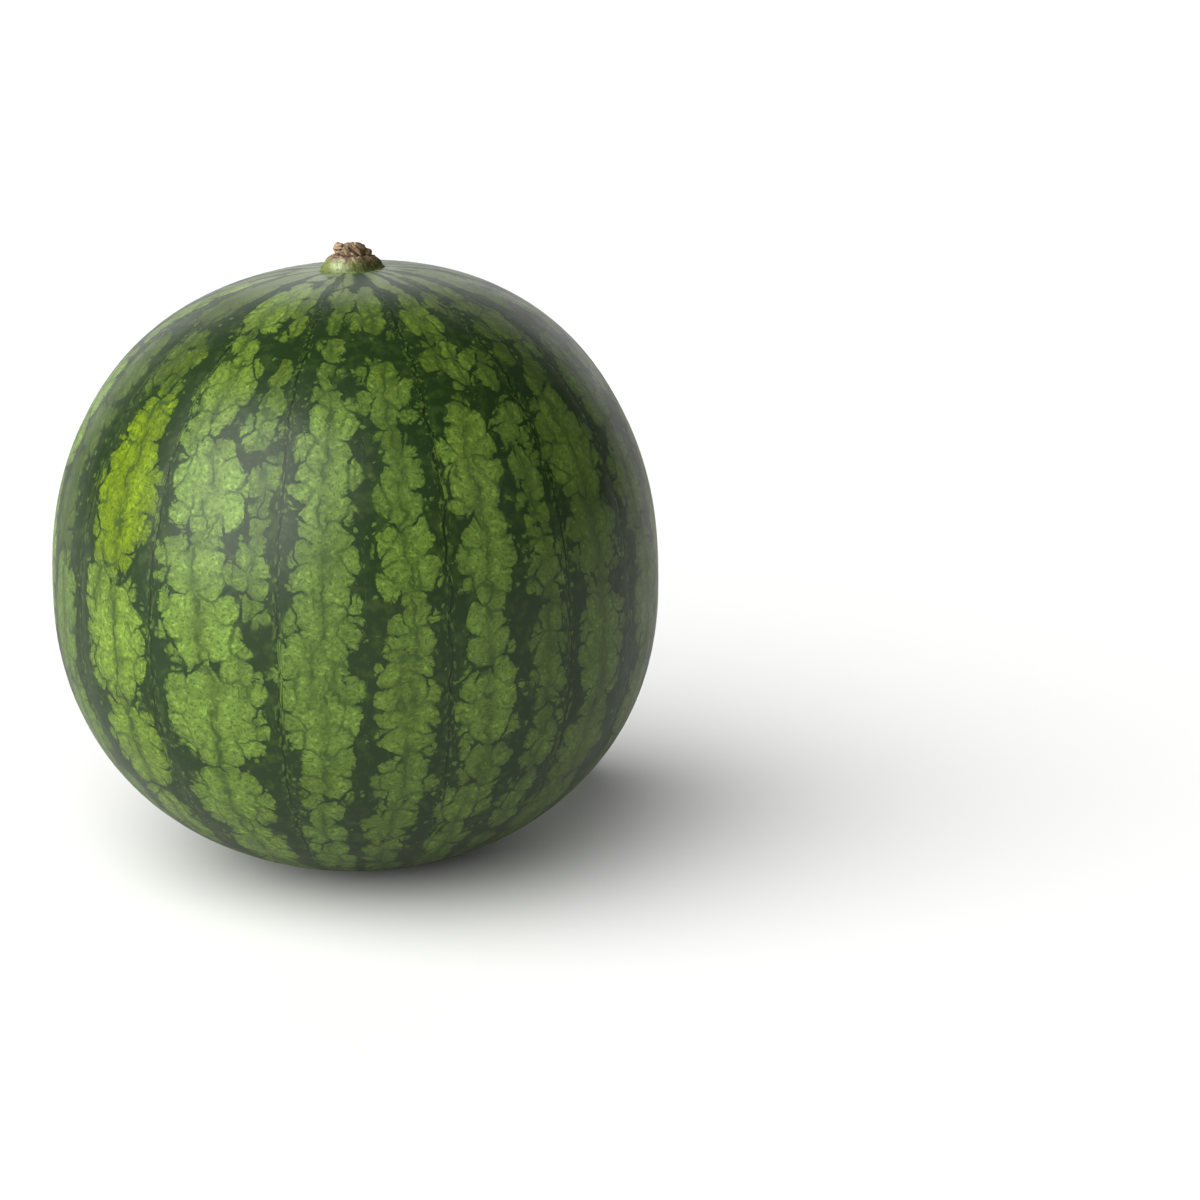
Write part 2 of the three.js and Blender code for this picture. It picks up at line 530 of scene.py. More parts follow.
def back_bands():
    """Bands of islands for the sides and back, like the front ones in width and spacing, with the veins
    between them and each band's own tone."""
    chance = random.Random(BACK_BANDS_SEED)
    bands = []
    veins = []
    tints = []
    left = 77.0
    end = 360 - 94.0
    while left < end - 8:
        narrow = chance.random() < 0.25
        width = chance.uniform(6, 8) if narrow else chance.uniform(11, 16)
        width = min(width, end - left)
        band = []
        top = chance.uniform(78, 84)
        while top > -60:
            tall = chance.uniform(6, 12) if narrow else chance.uniform(9, 25)
            shift = chance.uniform(-1.2, 1.2)
            trim = chance.uniform(0, 0.12) * width
            band.append((top, top - tall, left + shift + trim, left + width + shift - trim))
            top -= tall + chance.uniform(0.2, 2.0) + (2.5 if narrow else 0)
        bands.append(tuple(band))
        tints.append((chance.uniform(0.65, 1.05), chance.uniform(0, 0.4)))
        gap = chance.uniform(3.2, 5.6)
        veins.append(left + width + gap / 2)
        left += width + gap
    return tuple(bands), tuple(veins), tuple(tints)


def pole_streaks(band):
    """Narrow islands that carry a band on towards the poles that it comes near."""
    top, _, *top_sides = max(band, key=lambda island: island[0])
    _, bottom, *bottom_sides = min(band, key=lambda island: island[1])
    streaks = []
    for comes_near, high, low, sides, half_share in (
        (top > TOP_NEARNESS, STREAK_TOP, top, top_sides, 0.46),
        (bottom < BOTTOM_NEARNESS, bottom, STREAK_BOTTOM, bottom_sides, 0.3),
    ):
        if comes_near:
            middle = (sides[0] + sides[1]) / 2
            half = half_share * (sides[1] - sides[0])
            streaks.append((high, low, middle - half, middle + half))
    return tuple(streaks)


def rising(values, ends):
    """0 up to the first of two ends, 1 from the second on, and even between them."""
    return np.clip((values - ends[0]) / (ends[1] - ends[0]), 0, 1)


def degrees_apart(longitude, middle):
    """Signed turn from a middle longitude, between -180 and 180 degrees."""
    return (longitude - middle + 180) % 360 - 180


def island_depth(across, along, half_width, half_height):
    """Millimetres inside the edge of a rounded rectangle, negative outside it."""
    power = ISLAND_SQUARENESS
    side = np.abs(across / half_width) + 1e-6
    end = np.abs(along / half_height) + 1e-6
    reach = (side ** power + end ** power) ** (1 / power)
    slope = reach ** (1 - power) * np.hypot(
        side ** (power - 1) / half_width, end ** (power - 1) / half_height
    )
    most = np.minimum(half_width, half_height)
    return np.clip((1 - reach) / slope, FAR_OUTSIDE, most)


def smooth_noise(points, size):
    """Noise between -1 and 1, of a size in millimetres, at each of an array of points."""
    flat = points.reshape(-1, 3) / size
    return np.array([noise.noise(point) for point in flat.tolist()]).reshape(points.shape[:-1])


def warped(longitude, radius, run, points):
    """Longitude and run of the points after the slow drifts that bend the islands' outlines."""
    across = np.zeros(points.shape[:-1])
    along = np.zeros(points.shape[:-1])
    for size, most in zip(WARP_SIZES, WARP_REACHES):
        reach = most * np.minimum(radius / WARPED_RADIUS, 1)
        across += reach * smooth_noise(points + 3 * size, size)
        along += reach * smooth_noise(points - 5 * size, size)
    return longitude + np.degrees(across / np.maximum(radius, LEAST_RADIUS)), run + along


def island_fields(longitude, latitude, radius, run, points):
    """For each point of the skin, by name: millimetres inside the nearest island, millimetres from that
    island's midrib, how bright it is (its own tone mixed with painted sheen, painted shade and the
    crown's painted highlight) and how yellow, and a place that its lobes are drawn by."""
    back, back_veins, back_tints = back_bands()
    ring_run = run[:, 0]
    ring_latitude = latitude[:, 0]
    bent_longitude, bent_run = warped(longitude, radius, run, points)
    depth = np.full(bent_run.shape, FAR_OUTSIDE)
    midrib = np.full(bent_run.shape, GIRTH_RADIUS)
    tone_and_painted_light = np.zeros(bent_run.shape)
    yellow = np.zeros(bent_run.shape)
    chance = random.Random(TINT_SEED)
    for band, band_tone_and_light in zip(FRONT_BANDS + back, FRONT_TONES_AND_LIGHT + back_tints):
        for island in band + pole_streaks(band):
            top, bottom, left, right = island
            run_top, run_bottom = np.interp((top, bottom), ring_latitude, ring_run)
            across = np.radians(degrees_apart(bent_longitude, (left + right) / 2)) * radius
            inside = island_depth(
                across,
                bent_run - (run_top + run_bottom) / 2,
                np.radians((right - left) / 2) * radius + SIDE_GROWTH,
                (run_top - run_bottom) / 2 + (END_GROWTH if bottom < CROWN_BOTTOM else 0),
            )
            nearer = inside > depth
            depth = np.where(nearer, inside, depth)
            midrib = np.where(nearer, across, midrib)
            # The band's own tone mixed with painted light: brighter for painted sheen, darker for
            # painted shade.
            tone_and_painted_light = np.where(nearer, band_tone_and_light[0] + chance.uniform(-0.08, 0.08), tone_and_painted_light)
            yellow = np.where(nearer, band_tone_and_light[1] + chance.uniform(-0.1, 0.1), yellow)
    borders = np.array(sorted(FRONT_VEINS + back_veins))
    turn = borders[0] + (longitude - borders[0]) % 360
    section = np.searchsorted(borders, turn, side="right") - 1
    section_end = np.append(borders[1:], borders[0] + 360)
    middle = (borders[section] + section_end[section]) / 2
    spread = GIRTH_RADIUS * (radius / GIRTH_RADIUS) ** NARROWING
    lengthening = np.sqrt(np.maximum(radius[:, 0], POLE_RADIUS) / GIRTH_RADIUS)
    slower_run = np.cumsum(lengthening * np.gradient(ring_run))
    trimmed = rising(latitude, TRIM_LATITUDES) * np.minimum(radius / TRIM_RADIUS, 1) ** 2
    place = np.zeros((*bent_run.shape, 3))
    place[..., 0] = np.radians(turn - middle) * spread + section * SECTION_SHIFT
    place[..., 1] = slower_run[:, None]
    return {
        "island": depth - CROWN_TRIM * trimmed,
        "midrib": midrib,
        # Partly a painted highlight: the islands are paled towards the stem where the light from above
        # is mirrored.
        "tone_and_painted_light": tone_and_painted_light * (1 + CROWN_PALENESS_AND_HIGHLIGHT * rising(latitude, PALENESS_LATITUDES)),
        "yellow": np.clip(yellow + CROWN_YELLOW * rising(latitude, YELLOW_LATITUDES), 0, 1),
        "place": place,
    }


def vein_distance(longitude, radius):
    """Signed millimetres to the nearest vein, for each point of the skin."""
    nearest = np.full(np.broadcast_shapes(longitude.shape, radius.shape), GIRTH_RADIUS)
    for vein in FRONT_VEINS + back_bands()[1]:
        away = np.radians(degrees_apart(longitude, vein)) * radius
        nearest = np.where(np.abs(away) < np.abs(nearest), away, nearest)
    return nearest


def even_points(longitude, latitude):
    """Points of the fruit's even outline turned about its axis, in millimetres."""
    radius, height = outline(latitude)
    turn = np.radians(longitude)
    x = radius * np.sin(turn)
    y = -radius * np.cos(turn)
    return np.stack([x, y, np.broadcast_to(height, x.shape)], axis=-1)


def skin_points(points, radius, groove, depth_of_groove):
    """The even points with the uneven shoulder, the vein grooves and the broad swells."""
    x, y, z = np.moveaxis(points, -1, 0)
    free = np.clip(z / REST_FADE, 0, 1)
    swell = smooth_noise(points, SWELL_SIZE)
    uneven = 0.6 + 0.8 * smooth_noise(points + 50, GROOVE_DRIFT)
    dip = -depth_of_groove * uneven * np.exp(-((groove / GROOVE_WIDTH) ** 2))
    out = 1 + (SWELL_HEIGHT * (swell - 0.5) + dip) * free / GIRTH_RADIUS
    x = x * out
    y = y * out
    lift = SHOULDER_RISE * (x / GIRTH_RADIUS) * np.clip(z / SEAT_HEIGHT, 0, 1) ** SHOULDER_POWER
    settled = np.clip(radius / SEAT_RADIUS, 0, 1)
    z = z + lift * settled
    return np.stack([x, y, z], axis=-1)


def ring_mesh(name, rings, around):
    """A closed mesh from rings of points, the first and last ring each being one pole point given
    all round, with a UV map of turn by height."""
    top = len(rings) - 1
    points = np.concatenate([rings[0, :1], rings[1:-1].reshape(-1, 3), rings[-1, :1]])
    faces = []
    places = []
    for ring in range(top):
        # Corners of the faces above this ring, as steps up and round, with triangles at the poles.
        corners = ((0, 0), (0, 1), (1, 1), (1, 0))
        if ring == 0:
            corners = ((0, 0.5), (1, 1), (1, 0))
        if ring == top - 1:
            corners = ((0, 0), (0, 1), (1, 0.5))
        for step in range(around):
            face = []
            for up, over in corners:
                number = 1 + (ring + up - 1) * around + int(step + over) % around
                face.append(min(number, len(points) - 1) if ring + up > 0 else 0)
                places.append(((step + over) / around, (ring + up) / top))
            faces.append(face)
    mesh = bpy.data.meshes.new(name)
    mesh.from_pydata((points * MM).tolist(), [], faces)
    mesh.uv_layers.new(name="OFBake").data.foreach_set("uv", np.array(places).ravel())
    mesh.shade_smooth()
    return mesh


def add_field(mesh, name, values):
    """Stores a number or a vector for each point of a ring mesh, from values given ring by ring."""
    vector = values.ndim == 3
    kind = "FLOAT_VECTOR" if vector else "FLOAT"
    tail = values.shape[2:]
    flat = np.concatenate([values[0, :1], values[1:-1].reshape(-1, *tail), values[-1, :1]])
    field = mesh.attributes.new(name, kind, "POINT")
    field.data.foreach_set("vector" if vector else "value", flat.astype(np.float32).ravel())


def cracks(tree, place, size, half_width):
    """1 on the lines between cells of a size, falling to 0 at half_width from them."""
    lines = node(
        tree, "TexVoronoi", {"Vector": place, "Scale": 1 / size, "Randomness": 0.9},
        voronoi_dimensions="2D", feature="DISTANCE_TO_EDGE",
    )
    return node(tree, "MapRange", (lines, 0.0, half_width / size, 1.0, 0.0), **SMOOTH)


def lobed_edge(tree, fields, place, fine):
    """Millimetres inside the lobed outline of an island: round lobes with smaller ones on them, and a
    slightly ragged rim."""
    edge = fields["island"]
    for size, reach in ((LOBE, LOBE_REACH), (LOBELET, LOBELET_REACH)):
        cells = node(
            tree, "TexVoronoi", {"Vector": place, "Scale": 1 / size, "Randomness": 0.9},
            voronoi_dimensions="2D",
        )
        out = node(
            tree, "Math", (cells, -reach * size, reach * size * LOBE_LEVEL), operation="MULTIPLY_ADD"
        )
        edge = node(tree, "Math", (out, fields["fullness"], edge), operation="MULTIPLY_ADD")
    ragged = node(tree, "Math", (fine, 1.2, -0.6), operation="MULTIPLY_ADD")
    return node(tree, "Math", (edge, ragged), operation="ADD")


def notched(tree, fields, place, edge):
    """The edge cut by wedges along the seams of the lobes: wide at the rim, and gone at a depth that
    differs from lobe to lobe."""
    uneven = node(tree, "TexNoise", {"Vector": place, "Scale": 1 / 6.0, "Detail": 1.0})
    depth = node(tree, "MapRange", (uneven, 0.38, 0.62, -1.0, -NOTCH))
    depth = node(tree, "Math", (depth, fields["fullness"]), operation="MULTIPLY")
    for size, half_width, scale in ((LOBE, 0.85, 1.0), (LOBELET, 0.42, 0.32)):
        wedge = node(tree, "Math", (depth, scale), operation="MULTIPLY")
        seam = cracks(tree, place, size, half_width)
        edge = node(tree, "Math", (seam, wedge, edge), operation="MULTIPLY_ADD")
    return edge


def wandering_line(tree, away, wobble, reach, half_width):
    """1 on a thin line along where away is 0, which wobbles to each side by up to half of reach."""
    off = node(tree, "Math", (wobble, reach, away), operation="MULTIPLY_ADD")
    centred = node(tree, "Math", (off, reach / 2), operation="SUBTRACT")
    near = node(tree, "Math", {0: centred}, operation="ABSOLUTE")
    line = node(tree, "MapRange", (near, 0.3 * half_width, half_width, 1.0, 0.0), **SMOOTH)
    return line, near


def island_colour(tree, look, fields, place, edge, fine):
    """Colour of the islands: pale green, darker towards the rim, cut by cracks and finely mottled.
    The cracks come with it, as 1 where the skin is cracked."""
    # Cracks run in from the rim along the seams of the lobes, some of them far, some hardly.
    reach = node(tree, "TexNoise", {"Vector": place, "Scale": 1 / 7.0, "Detail": 1.0})
    reached = node(tree, "Math", (reach, -16.0, edge), operation="MULTIPLY_ADD")
    fading = node(tree, "MapRange", (reached, -5.0, 0.0, 0.85, 0.02))
    seams = cracks(tree, place, LOBE, 0.95)
    cracked = node(tree, "Math", (seams, fading), operation="MULTIPLY")
    rim = node(tree, "MapRange", (edge, 0.2, 3.8, 0.72, 0.0))
    small_seams = cracks(tree, place, LOBELET, 0.50)
    short_cracks = node(tree, "Math", (small_seams, rim), operation="MULTIPLY")
    in_places = node(tree, "MapRange", (reach, 0.4, 0.6, 1.0, 0.25))
    short_cracks = node(tree, "Math", (short_cracks, in_places), operation="MULTIPLY")
    wobble = node(tree, "TexNoise", {"Vector": place, "Scale": 1 / 5.0, "Detail": 4.0})
    rib_line, rib_near = wandering_line(tree, fields["midrib"], wobble, 8.0, 0.85)
    broken = node(tree, "MapRange", (reach, 0.4, 0.58, 0.22, 0.92))
    rib = node(tree, "Math", (rib_line, broken), operation="MULTIPLY")
    for more in (short_cracks, rib):
        cracked = node(tree, "Math", (cracked, more), operation="MAXIMUM")
    cracked = node(tree, "Math", (cracked, fields["fullness"]), operation="MULTIPLY")

    # Mottling: dark dashes that lie across the band, thicker near the rim, and pale specks.
    sideways = node(tree, "VectorMath", (place, (1 / 2.1, 1 / 1.15, 1.0)), operation="MULTIPLY")
    dashes = node(tree, "TexNoise", {"Vector": sideways, "Scale": 1.0, "Detail": 2.0, "Roughness": 0.6})
    rim_strength = node(tree, "MapRange", (edge, 0.0, 7.0, 0.9, 0.55))
    dark_dashes = node(tree, "MapRange", (dashes, 0.47, 0.69, 0.0, rim_strength))
    net = cracks(tree, place, 2.0, 0.40)
    net_strength = node(tree, "MapRange", (fine, 0.5, 0.68, 0.0, rim_strength))
    dark_net = node(tree, "Math", (net, net_strength), operation="MULTIPLY")
    pores = node(
        tree, "TexVoronoi", {"Vector": place, "Scale": 1 / 2.0, "Randomness": 1.0},
        voronoi_dimensions="2D",
    )
    pore = node(tree, "MapRange", (pores, 0.06, 0.34, 0.7, 0.0), **SMOOTH)
    mottle = dark_dashes
    for more in (dark_net, pore):
        mottle = node(tree, "Math", (mottle, more), operation="MAXIMUM")
    specks = node(tree, "MapRange", (fine, 0.28, 0.46, 1.6, 0.98))

    # Brightness: each band has its own, partly its tone and partly painted sheen and painted shade, and
    # it drifts over a centimetre or so.
    tone = node(tree, "TexNoise", {"Vector": place, "Scale": 1 / 9.0, "Detail": 2.0})
    brighter = node(tree, "MapRange", (tone, 0.35, 0.65, 0.85, 1.15))
    towards_rim = node(tree, "MapRange", (edge, 0.0, 4.0, 0.82, 1.04))
    towards_rib = node(tree, "MapRange", (rib_near, 0.5, 3.5, 0.72, 1.03), **SMOOTH)
    strength = fields["tone_and_painted_light"]
    for share in (brighter, specks, towards_rim, towards_rib):
        strength = node(tree, "Math", (strength, share), operation="MULTIPLY")
    hue = node(
        tree, "Mix", {0: fields["yellow"], 6: look.island_colour, 7: look.bright_colour},
        data_type="RGBA",
    ).outputs[2]
    pale = node(
        tree, "Mix", {0: 1.0, 6: hue, 7: strength}, data_type="RGBA", blend_type="MULTIPLY"
    ).outputs[2]
    for share in (mottle, cracked):
        pale = node(
            tree, "Mix", {0: share, 6: pale, 7: look.fissure_colour}, data_type="RGBA"
        ).outputs[2]
    return pale, cracked


def stripe_colour(tree, look, fields, solid, edge, fine):
    """Colour of the stripes: dark green, faintly marbled, with pale islets near the islands and pale
    dashes on both sides of the near-black vein. The vein comes with it, as 1 on its line."""
    marble = node(tree, "TexNoise", {"Vector": solid, "Scale": 1 / 3.2, "Detail": 4.0})
    marbled = node(tree, "MapRange", (marble, 0.48, 0.72, 0.0, 0.16))
    islets = node(tree, "TexVoronoi", {"Vector": solid, "Scale": 1 / 2.6, "Randomness": 1.0})
    uneven = node(tree, "Math", (fine, 1.1, islets.outputs["Distance"]), operation="MULTIPLY_ADD")
    islet_size = node(tree, "MapRange", (uneven, 0.7, 0.86, 1.0, 0.0), **SMOOTH)
    pick = node(tree, "SeparateColor", {0: islets.outputs["Color"]}).outputs[0]
    near_island = node(tree, "MapRange", (edge, -5.0, -0.5, 0.9, 0.6))
    picked = node(tree, "Math", (pick, near_island), operation="GREATER_THAN")
    islet = node(tree, "Math", (islet_size, picked), operation="MULTIPLY")
    islet = node(tree, "Math", (islet, 0.6), operation="MULTIPLY")

    wobble = node(tree, "TexNoise", {"Vector": solid, "Scale": 1 / 7.0, "Detail": 4.0})
    vein_line, vein_near = wandering_line(tree, fields["vein"], wobble, 4.2, 0.45)
    faint = node(tree, "MapRange", (marble, 0.4, 0.56, 0.25, 0.95))
    vein_line = node(tree, "Math", (vein_line, faint), operation="MULTIPLY")
    lengthways = node(tree, "VectorMath", (solid, (1.0, 1.0, 0.35)), operation="MULTIPLY")
    broken = node(tree, "TexNoise", {"Vector": lengthways, "Scale": 1 / 0.9, "Detail": 1.0})
    dash = node(tree, "MapRange", (broken, 0.53, 0.64, 0.0, 0.42), **SMOOTH)
    beside = node(tree, "MapRange", (vein_near, 0.8, 2.2, 1.0, 0.0))
    dashes = node(tree, "Math", (dash, beside), operation="MULTIPLY")
    fleck = islet
    for more in (dashes, marbled):
        fleck = node(tree, "Math", (fleck, more), operation="MAXIMUM")
    colour = look.stripe_colour
    dark_vein = [VEIN_DARKNESS * share for share in colour]
    for share, over in ((fleck, look.island_colour), (vein_line, dark_vein)):
        colour = node(tree, "Mix", {0: share, 6: colour, 7: over}, data_type="RGBA").outputs[2]
    return colour, vein_line


def rind_material(look):
    """Watermelon rind, as grown: hard, smooth skin under a thin natural wax.
    To the eye it is satin, with milky reflections over dark blue-green stripes and over pale islands
    that are lobed like a cauliflower, cracked between their lobes and finely mottled."""
    material = empty_material("waxy_rind")
    tree = material.node_tree
    solid = in_millimetres(tree)
    fields = {
        name: node(tree, "Attribute", attribute_name=name).outputs["Fac"]
        for name in ("island", "midrib", "vein", "tone_and_painted_light", "yellow", "scar", "fullness")
    }
    straight = node(tree, "Attribute", attribute_name="place").outputs["Vector"]
    drift = node(
        tree, "TexNoise", {"Vector": solid, "Scale": 1 / 6.0, "Detail": 3.0, "Roughness": 0.52}
    ).outputs["Color"]
    place = node(
        tree, "VectorMath", (drift, (6.5, 6.5, 0.0), straight), operation="MULTIPLY_ADD"
    ).outputs[0]
    fine = node(
        tree, "TexNoise", {"Vector": solid, "Scale": 1 / 1.25, "Detail": 2.0, "Roughness": 0.6}
    ).outputs["Fac"]
    edge = lobed_edge(tree, fields, place, fine)
    island = node(tree, "MapRange", (notched(tree, fields, place, edge), -0.55, 0.65), **SMOOTH)
    pale, cracked = island_colour(tree, look, fields, place, edge, fine)
    dark, vein_line = stripe_colour(tree, look, fields, solid, edge, fine)
    colour = node(tree, "Mix", {0: island, 6: dark, 7: pale}, data_type="RGBA").outputs[2]

    # The skin turns ashen next to the stem, and the scar of the blossom is corky.
    ashen = node(tree, "MapRange", (fields["fullness"], 0.23, 0.74, 0.62, 0.0))
    ash = node(
        tree, "Mix", {0: island, 6: linear("66756A"), 7: linear("B2BE9B")}, data_type="RGBA"
    ).outputs[2]
    for share, over in ((ashen, ash), (fields["scar"], linear("6E5B3C"))):
        colour = node(tree, "Mix", {0: share, 6: colour, 7: over}, data_type="RGBA").outputs[2]

    rubbed = node(tree, "TexNoise", {"Vector": solid, "Scale": 1 / 14.0, "Detail": 3.0})
    roughness = node(tree, "MapRange", (rubbed, 0.3, 0.7, 0.32, 0.42))
    sunk = node(tree, "Math", (cracked, island), operation="MULTIPLY")
    height = node(tree, "Math", (sunk, -0.5, fine), operation="MULTIPLY_ADD")
    height = node(tree, "Math", (vein_line, -0.4, height), operation="MULTIPLY_ADD")
    bump = node(tree, "Bump", {"Strength": 1.0, "Distance": 0.05 * MM, "Height": height})
    rind = node(
        tree, "BsdfPrincipled",
        {"Base Color": colour, "Roughness": roughness, "IOR": 1.45, "Normal": bump},
    )
    node(tree, "OutputMaterial", {"Surface": rind})
    return material


class WATERMELON_OT_fruit(bpy.types.Operator):
    """Add the fruit: its skin with shallow grooves, and the striped, waxy rind"""

    bl_idname = "watermelon.fruit"
    bl_label = "Fruit"

    def execute(self, context):
        look = context.scene.watermelon_fruit
        ring_latitude, ring_run = evenly_spaced_rings()
        latitude = ring_latitude[:, None]
        run = ring_run[:, None]
        longitude = (np.arange(AROUND) / AROUND * 360 - 180)[None, :]
        radius = outline(latitude)[0]
        vein = vein_distance(longitude, radius)
        even = even_points(longitude, latitude)
        points = skin_points(even, radius, vein, look.groove_depth / MM)
        mesh = ring_mesh("rind", points, AROUND)
        fields = island_fields(longitude, latitude, radius, run, even)
        fields["vein"] = vein
        fields["scar"] = np.clip(SCAR_SHARPNESS * (SCAR_RADIUS - radius), 0, 1) * (latitude < 0)
        fields["fullness"] = np.clip(radius / FULL_LOBE_RADIUS, FAINTEST_LOBES, 1)
        for name, values in fields.items():
            add_field(mesh, name, np.broadcast_to(values, vein.shape + values.shape[2:]))
        mesh.materials.append(rind_material(look))
        rind = add_object("rind", mesh)
        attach(rind, "root")
        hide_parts("fruit")
        return {"FINISHED"}


# ======== Stem ========

# All in millimetres from the middle of the foot's underside.
# Rounded lumps of the knot: x, y, z and radius.
LUMPS = (
    (4.7, 0.0, 4.2, 1.45),
    (-2.6, 0.4, 4.2, 2.0),
    (3.0, 0.6, 4.0, 2.1),
)
CORE_MIDDLE = Vector((0.6, 0.2, 4.3))  # of the bundle that the strands lie on
CORE_HALF = Vector((4.0, 3.4, 2.6))
CORE_SHARE = 0.97  # the solid inside a bundle is this much of its size
TWIST = 1.35  # how far a strand winds round the stem on its way down, in radians
STRAND_RADIUS = 0.36
KNOB_MIDDLE = Vector((-3.3, -0.5, 5.8))
KNOB_HALF = Vector((1.45, 1.45, 1.6))
KNOB_TILT = -70.0  # its strands start on its -X side
KNOB_STRANDS = 9
KNOB_TWIST = 0.8
# Where a strand runs out over the foot: its distance from the axis, its height and how thick it is.
OVER_FOOT = ((5.6, 3.5, 1.1), (7.2, 2.6, 0.9), (8.2, 1.3, 0.6))
OVER_FOOT_TWIST = 0.07  # from one of those to the next, in radians
STRAND_REACHES = (5.0, 5.0, 6.1)  # how far out it may run
TONGUE_REACHES = (7.4, 8.3)  # and in the tongue, where the strands run far out
TONGUE_TURN = -56.0  # the tongue's middle, in degrees from +X: the front right
TONGUE_WIDTH = 0.8  # the cosine of half the angle that it takes up
FOOT_OUTLINE = (
    (10.2, -0.9), (9.2, 0.0), (8.5, 0.7), (8.1, 1.6), (7.5, 2.5), (6.4, 3.3), (4.6, 3.8),
)
FOOT_CORNERS = 60
FOOT_RIBS = 5
TUBE_SIDES = 10
TUBE_STEPS = 6  # between one point of a strand and the next
NEARLY_UP = Vector((0, 0.3, 1))  # no strand runs exactly this way
STRAND_STEPS = 7
STRAND_END = 112  # degrees from the top of its bundle
STEM_VOXEL = 0.15
FIBRE_WIDTH = 0.7
FIBRE_LENGTH = 2.2
FIBRE_DEPTH = 0.10
CREASE_DEPTH = 0.22
CREASE_SIZE = 1.5
CLEFT_SPREAD = 6  # how many neighbours away a cleft is measured against
FACET_MIDDLE = -3.4  # in X, of the foot's pale part, a painted highlight on its lit -X side
STEM_SEED = 5


def strand_rings(points):
    """Rings of a tapered tube along a smooth line through points of (x, y, z, radius)."""
    knots = np.array(points, float)
    padded = np.concatenate([2 * knots[:1] - knots[1:2], knots, 2 * knots[-1:] - knots[-2:-1]])
    line = []
    for index in range(1, len(padded) - 2):
        before, start, end, after = padded[index - 1:index + 3]
        for step in range(TUBE_STEPS):
            t = step / TUBE_STEPS
            line.append(0.5 * (
                2 * start + (end - before) * t + (2 * before - 5 * start + 4 * end - after) * t ** 2
                + (3 * start - before - 3 * end + after) * t ** 3
            ))
    line.append(padded[-2])
    line = np.array(line)
    rings = []
    for index, point in enumerate(line):
        ahead = line[min(index + 1, len(line) - 1), :3] - line[max(index - 1, 0), :3]
        ahead = Vector(ahead).normalized()
        side = ahead.cross(NEARLY_UP).normalized()
        up = side.cross(ahead)
        ring = []
        for corner in range(TUBE_SIDES):
            turn = 2 * math.pi * corner / TUBE_SIDES
            outward = side * math.cos(turn) + up * math.sin(turn)
            ring.append(Vector(point[:3]) + outward * point[3])
        rings.append(ring)
    return rings


def add_tube(build, rings):
    """Adds rings of points to a bmesh, joined by quads and closed at both ends."""
    made = [[build.verts.new(point) for point in ring] for ring in rings]
    for low, high in zip(made, made[1:]):
        for step in range(len(low)):
            after = (step + 1) % len(low)
            build.faces.new((low[step], low[after], high[after], high[step]))
    build.faces.new(made[0][::-1])
    build.faces.new(made[-1])


def foot_rings():
    """Rings of the ribbed mound that spreads over the crown."""
    rings = []
    for radius, height in FOOT_OUTLINE:
        ring = []
        for step in range(FOOT_CORNERS):
            turn = 2 * math.pi * step / FOOT_CORNERS
            rib = 1 + 0.06 * math.cos(FOOT_RIBS * turn) + 0.03 * math.cos(3 * turn + 1)
            ring.append((radius * rib * math.cos(turn), radius * rib * math.sin(turn), height))
        rings.append(ring)
    return rings


def winding_line(middle, half, tilt, turn, twist, thick, chance):
    """A strand as (x, y, z, radius) that winds down an oval bundle from its top, which is tilted by
    some degrees, to below its middle."""
    line = []
    start = chance.uniform(8, 30)
    for step in range(STRAND_STEPS + 1):
        share = step / STRAND_STEPS
        polar = math.radians(start + share * (STRAND_END - start))
        round_bundle = turn + twist * share + chance.uniform(-0.05, 0.05)
        swell = 1 + chance.uniform(-0.05, 0.07)
        point = Vector((
            half.x * swell * math.sin(polar) * math.cos(round_bundle),
            half.y * swell * math.sin(polar) * math.sin(round_bundle),
            half.z * swell * math.cos(polar),
        ))
        point.rotate(Euler((0, math.radians(tilt), 0)))
        line.append((*(middle + point), thick))
    return line


def strand_line(turn, chance):
    """One strand of the main bundle, which runs out over the foot at its end."""
    thick = STRAND_RADIUS * chance.uniform(0.6, 1.5)
    twist = TWIST * chance.uniform(0.45, 1.5)
    line = winding_line(CORE_MIDDLE, CORE_HALF, 0, turn, twist, thick, chance)
    end_turn = turn + twist
    in_tongue = math.cos(end_turn - math.radians(TONGUE_TURN)) > TONGUE_WIDTH
    reach = chance.choice(TONGUE_REACHES if in_tongue else STRAND_REACHES)
    for radius, height, share in OVER_FOOT:
        if radius > reach:
            break
        end_turn += OVER_FOOT_TWIST
        x = radius * math.cos(end_turn)
        y = radius * math.sin(end_turn)
        line.append((x, y, height, share * thick))
    return line


